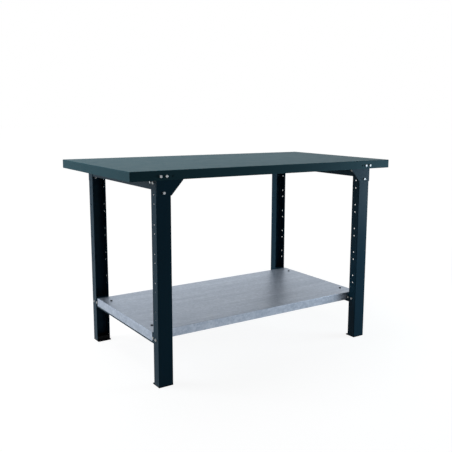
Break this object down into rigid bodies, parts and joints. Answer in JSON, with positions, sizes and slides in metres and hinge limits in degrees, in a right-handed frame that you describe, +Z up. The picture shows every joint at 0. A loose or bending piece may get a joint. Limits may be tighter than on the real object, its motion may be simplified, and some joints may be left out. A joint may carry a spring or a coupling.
{
  "type": "workbench",
  "caption": "Steel workbench: a folded sheet worktop on channel legs with corner gussets, end rails and a galvanised lower shelf, bolted together.",
  "frame": {"origin": "on the floor under the middle of the bench", "axes": "+X along the bench's length to the right as seen from the front, +Y from the front to the back, +Z up"},
  "size_m": [1.4, 0.7586, 0.9],
  "materials": {
    "worktop_paint": "semi-gloss powder coat, grey-green",
    "frame_paint": "semi-gloss powder coat, dark blue-grey",
    "galvanised_sheet": "galvanised, satin",
    "zinc_fastener": "bright zinc plate",
    "dark_screw": "black oxide",
    "foot_black": "moulded, matt",
    "board": "raw chipboard"
  },
  "bodies": {
    "root": {"foot_back_left": "foot_black", "foot_back_right": "foot_black", "foot_front_left": "foot_black", "foot_front_right": "foot_black", "gusset_back_left": "frame_paint", "gusset_back_right": "frame_paint", "gusset_bolt_back_left": "zinc_fastener", "gusset_bolt_back_right": "zinc_fastener", "gusset_bolt_front_left": "zinc_fastener", "gusset_bolt_front_right": "zinc_fastener", "gusset_front_left": "frame_paint", "gusset_front_right": "frame_paint", "gusset_nut_back_left": "zinc_fastener", "gusset_nut_back_right": "zinc_fastener", "gusset_nut_front_left": "zinc_fastener", "gusset_nut_front_right": "zinc_fastener", "leg_back_left": "frame_paint", "leg_back_right": "frame_paint", "leg_front_left": "frame_paint", "leg_front_right": "frame_paint", "lower_rail_bolt_back_left": "zinc_fastener", "lower_rail_bolt_back_right": "zinc_fastener", "lower_rail_bolt_front_left": "zinc_fastener", "lower_rail_bolt_front_right": "zinc_fastener", "lower_rail_left": "frame_paint", "lower_rail_nut_back_left": "zinc_fastener", "lower_rail_nut_back_right": "zinc_fastener", "lower_rail_nut_front_left": "zinc_fastener", "lower_rail_nut_front_right": "zinc_fastener", "lower_rail_right": "frame_paint", "nut_plate_back_left": "zinc_fastener", "nut_plate_back_right": "zinc_fastener", "nut_plate_front_left": "zinc_fastener", "nut_plate_front_right": "zinc_fastener", "shelf": "galvanised_sheet", "shelf_screw_back_left": "dark_screw", "shelf_screw_back_right": "dark_screw", "shelf_screw_front_left": "dark_screw", "shelf_screw_front_right": "dark_screw", "top_core": "board", "top_tray": "worktop_paint", "tray_bolt_back_left_inner": "zinc_fastener", "tray_bolt_back_left_outer": "zinc_fastener", "tray_bolt_back_right_inner": "zinc_fastener", "tray_bolt_back_right_outer": "zinc_fastener", "tray_bolt_front_left_inner": "zinc_fastener", "tray_bolt_front_left_outer": "zinc_fastener", "tray_bolt_front_right_inner": "zinc_fastener", "tray_bolt_front_right_outer": "zinc_fastener", "upper_rail_bolt_back_left": "zinc_fastener", "upper_rail_bolt_back_right": "zinc_fastener", "upper_rail_bolt_front_left": "zinc_fastener", "upper_rail_bolt_front_right": "zinc_fastener", "upper_rail_left": "frame_paint", "upper_rail_nut_back_left": "zinc_fastener", "upper_rail_nut_back_right": "zinc_fastener", "upper_rail_nut_front_left": "zinc_fastener", "upper_rail_nut_front_right": "zinc_fastener", "upper_rail_right": "frame_paint"}
  },
  "joints": []
}
